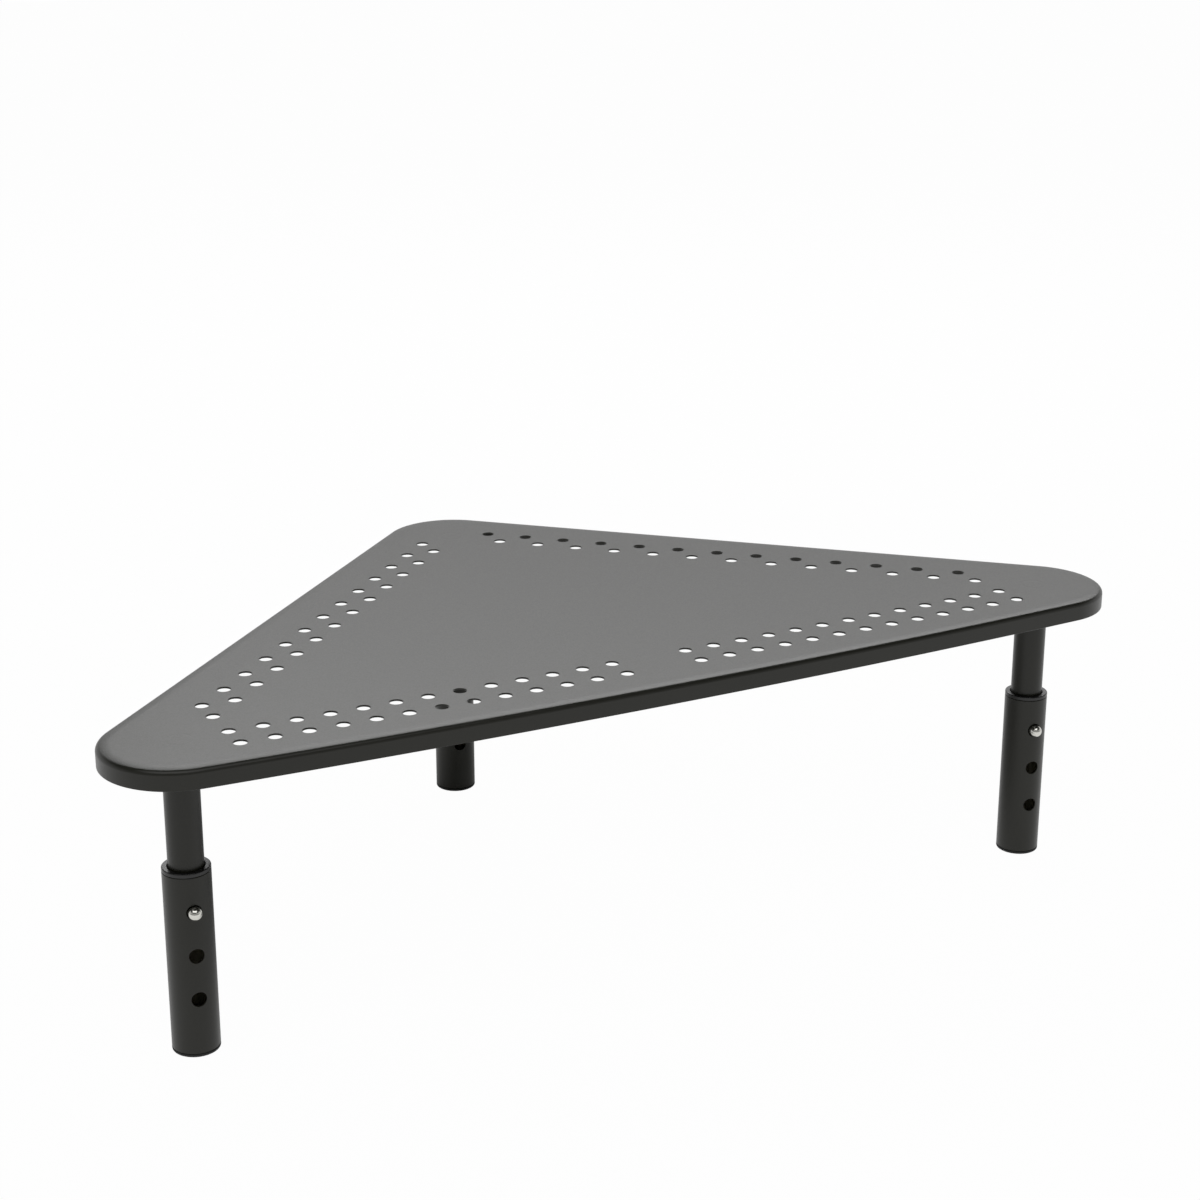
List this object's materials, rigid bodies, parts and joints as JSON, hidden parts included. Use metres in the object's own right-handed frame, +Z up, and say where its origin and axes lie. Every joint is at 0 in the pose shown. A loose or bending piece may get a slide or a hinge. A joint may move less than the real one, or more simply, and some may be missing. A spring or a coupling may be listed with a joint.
{
  "type": "corner monitor riser",
  "caption": "Corner monitor riser: rounded triangular vented steel shelf with a folded rim on three telescopic tube legs, each locked by a sprung snap button.",
  "frame": {"origin": "On the floor plane under the middle of the plate's width and depth, with the legs at their longest.", "axes": "+X to the right along the long front edge, +Y from the front edge towards the rear leg, +Z up."},
  "size_m": [0.502, 0.2807, 0.14],
  "materials": {
    "plate_paint": "satin black powder coat on pressed sheet steel",
    "leg_paint": "satin black powder coat on steel tube",
    "chrome": "polished chrome plate",
    "spring_steel": "bare cold-rolled spring steel",
    "zinc_steel": "clear zinc-plated steel",
    "nylon": "black moulded nylon",
    "rubber": "black moulded rubber"
  },
  "bodies": {
    "stand": {"top_plate": "plate_paint", "weld_stud_left": "zinc_steel", "threaded_plug_left": "zinc_steel", "inner_tube_left": "leg_paint", "lower_guide_left": "nylon", "button_spring_left": "spring_steel", "weld_stud_right": "zinc_steel", "threaded_plug_right": "zinc_steel", "inner_tube_right": "leg_paint", "lower_guide_right": "nylon", "button_spring_right": "spring_steel", "weld_stud_rear": "zinc_steel", "threaded_plug_rear": "zinc_steel", "inner_tube_rear": "leg_paint", "lower_guide_rear": "nylon", "button_spring_rear": "spring_steel"},
    "leg_left": {"outer_tube_left": "leg_paint", "upper_guide_left": "nylon", "rubber_foot_left": "rubber"},
    "leg_right": {"outer_tube_right": "leg_paint", "upper_guide_right": "nylon", "rubber_foot_right": "rubber"},
    "leg_rear": {"outer_tube_rear": "leg_paint", "upper_guide_rear": "nylon", "rubber_foot_rear": "rubber"},
    "button_left": {"snap_button_left": "chrome"},
    "button_right": {"snap_button_right": "chrome"},
    "button_rear": {"snap_button_rear": "chrome"}
  },
  "joints": [
    {"name": "leg_slide_left", "type": "slide", "parent": "stand", "child": "leg_left", "axis": [0, 0, 1], "range_m": [0, 0.04], "deforming": ["snap_button_left"]},
    {"name": "leg_slide_right", "type": "slide", "parent": "stand", "child": "leg_right", "axis": [0, 0, 1], "range_m": [0, 0.04], "deforming": ["snap_button_right"]},
    {"name": "leg_slide_rear", "type": "slide", "parent": "stand", "child": "leg_rear", "axis": [0, 0, 1], "range_m": [0, 0.04], "deforming": ["snap_button_rear"]},
    {"name": "button_press_left", "type": "slide", "parent": "stand", "child": "button_left", "axis": [0.0785, 0.9969, 0], "range_m": [0, 0.0054], "stiffness_N_per_m": 2500, "deforming": ["button_spring_left"]},
    {"name": "button_press_right", "type": "slide", "parent": "stand", "child": "button_right", "axis": [0.1478, 0.989, 0], "range_m": [0, 0.0054], "stiffness_N_per_m": 2500, "deforming": ["button_spring_right"]},
    {"name": "button_press_rear", "type": "slide", "parent": "stand", "child": "button_rear", "axis": [0.1564, 0.9877, 0], "range_m": [0, 0.0054], "stiffness_N_per_m": 2500, "deforming": ["button_spring_rear"]}
  ]
}
